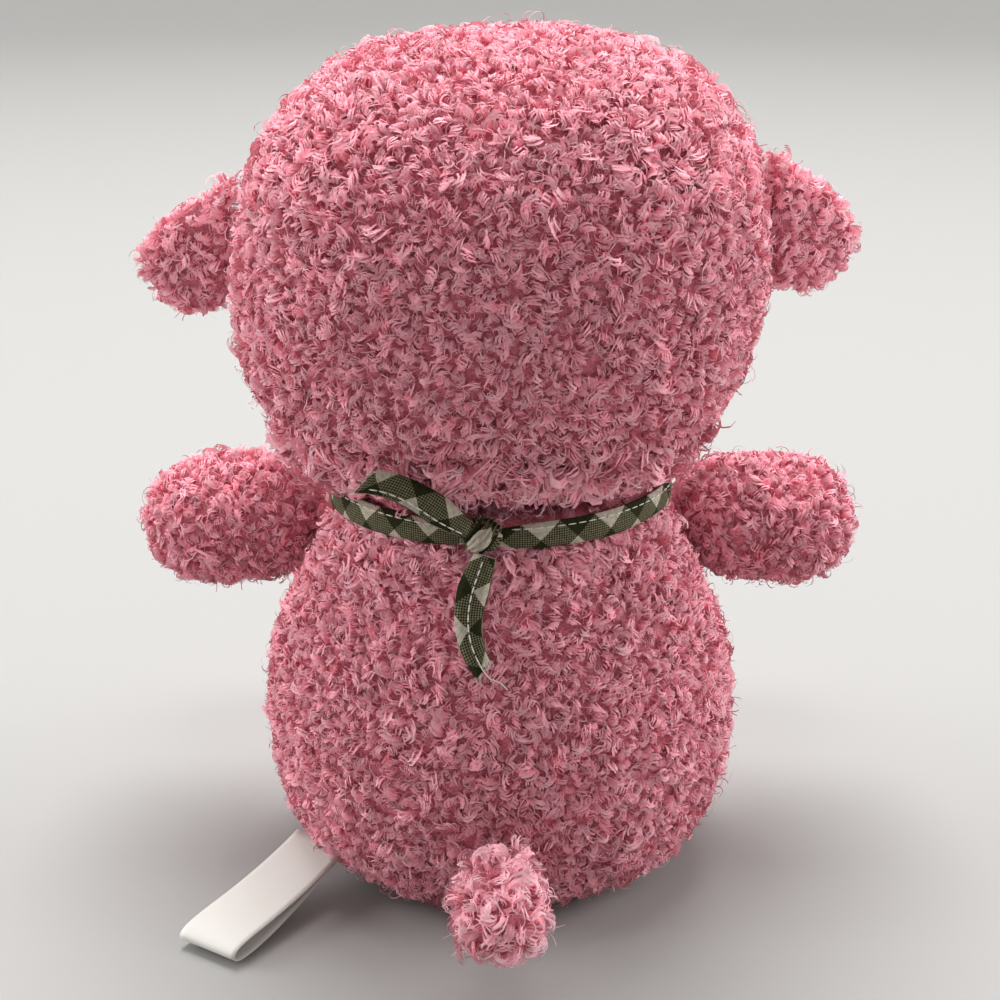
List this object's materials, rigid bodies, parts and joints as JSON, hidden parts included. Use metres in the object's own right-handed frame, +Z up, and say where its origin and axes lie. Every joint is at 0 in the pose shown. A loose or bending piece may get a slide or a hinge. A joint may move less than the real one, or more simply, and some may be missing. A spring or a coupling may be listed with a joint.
{
  "type": "plush lamb",
  "caption": "Seated plush lamb of curly pink fleece with soft swinging limbs, ears and tail, a gingham ribbon tied round its neck and a looped satin label at the seat.",
  "frame": {"origin": "middle of the flat seat, on the surface that the lamb sits on", "axes": "+Z up, the face looks towards -Y, the lamb's left side is at +X"},
  "size_m": [0.1908, 0.1796, 0.2113],
  "materials": {
    "fleece": "curly pile",
    "face_cloth": "short pile",
    "stuffing": "loose fibre",
    "gingham": "woven check",
    "satin": "satin weave",
    "thread": "embroidered",
    "eye": "polished",
    "washer": "moulded"
  },
  "bodies": {
    "body": {"seat_panel": "fleece", "body_cover": "fleece", "body_stuffing": "stuffing", "ribbon_band": "gingham", "ribbon_knot": "gingham"},
    "head": {"head_cover": "fleece", "head_stuffing": "stuffing", "face_panel": "face_cloth", "eye_left": "eye", "eye_washer_left": "washer", "eye_right": "eye", "eye_washer_right": "washer", "nose_embroidery": "thread", "mouth_embroidery": "thread"},
    "ear_left": {"ear_left_back": "fleece", "ear_left_lining": "face_cloth"},
    "ear_right": {"ear_right_back": "fleece", "ear_right_lining": "face_cloth"},
    "arm_left": {"arm_left_cover": "fleece", "arm_left_stuffing": "stuffing"},
    "arm_right": {"arm_right_cover": "fleece", "arm_right_stuffing": "stuffing"},
    "leg_left": {"leg_left_cover": "fleece", "leg_left_stuffing": "stuffing"},
    "leg_right": {"leg_right_cover": "fleece", "leg_right_stuffing": "stuffing"},
    "tail": {"tail_cover": "fleece", "tail_stuffing": "stuffing"},
    "label": {"label_loop": "satin"},
    "ribbon_upper": {"ribbon_end_upper": "gingham"},
    "ribbon_lower": {"ribbon_end_lower": "gingham"}
  },
  "joints": [
    {"name": "head_turn", "type": "hinge", "parent": "body", "child": "head", "pos_m": [0, 0, 0.10615], "axis": [0, 0, 1], "range_deg": [-30, 30], "stiffness_Nm_per_rad": 0.2},
    {"name": "ear_left_swing", "type": "hinge", "parent": "head", "child": "ear_left", "pos_m": [0.06954, -0.006, 0.1568], "axis": [0, 0, 1], "range_deg": [-30, 30], "stiffness_Nm_per_rad": 0.02},
    {"name": "ear_right_swing", "type": "hinge", "parent": "head", "child": "ear_right", "pos_m": [-0.06949, -0.006, 0.1638], "axis": [0, 0, 1], "range_deg": [-58, 10], "stiffness_Nm_per_rad": 0.02},
    {"name": "arm_left_raise", "type": "hinge", "parent": "body", "child": "arm_left", "pos_m": [0.05908, -0.02489, 0.082], "axis": [-0.2419, -0.9703, 0], "range_deg": [-20, 40], "stiffness_Nm_per_rad": 0.1},
    {"name": "arm_right_raise", "type": "hinge", "parent": "body", "child": "arm_right", "pos_m": [-0.05908, -0.02489, 0.082], "axis": [-0.2419, 0.9703, 0], "range_deg": [-20, 40], "stiffness_Nm_per_rad": 0.1},
    {"name": "leg_left_raise", "type": "hinge", "parent": "body", "child": "leg_left", "pos_m": [0.03404, -0.05527, 0.018], "axis": [-0.9703, -0.2419, 0], "range_deg": [-10, 35], "stiffness_Nm_per_rad": 0.1},
    {"name": "leg_right_raise", "type": "hinge", "parent": "body", "child": "leg_right", "pos_m": [-0.03404, -0.05527, 0.018], "axis": [-0.9703, 0.2419, 0], "range_deg": [-10, 35], "stiffness_Nm_per_rad": 0.1},
    {"name": "tail_wag", "type": "hinge", "parent": "body", "child": "tail", "pos_m": [0, 0.06148, 0.024], "axis": [0, 0, 1], "range_deg": [-30, 30], "stiffness_Nm_per_rad": 0.05},
    {"name": "label_lift", "type": "hinge", "parent": "body", "child": "label", "pos_m": [0.045, 0.02, 0.005], "axis": [0.4722, -0.8815, 0], "range_deg": [0, 30], "stiffness_Nm_per_rad": 0.01},
    {"name": "ribbon_upper_swing", "type": "hinge", "parent": "body", "child": "ribbon_upper", "pos_m": [0.0085, 0.0462, 0.1035], "axis": [0, 0, 1], "range_deg": [0, 45], "stiffness_Nm_per_rad": 0.005},
    {"name": "ribbon_lower_lift", "type": "hinge", "parent": "body", "child": "ribbon_lower", "pos_m": [0.0044, 0.0425, 0.0965], "axis": [1, 0, 0], "range_deg": [0, 60], "stiffness_Nm_per_rad": 0.005}
  ]
}
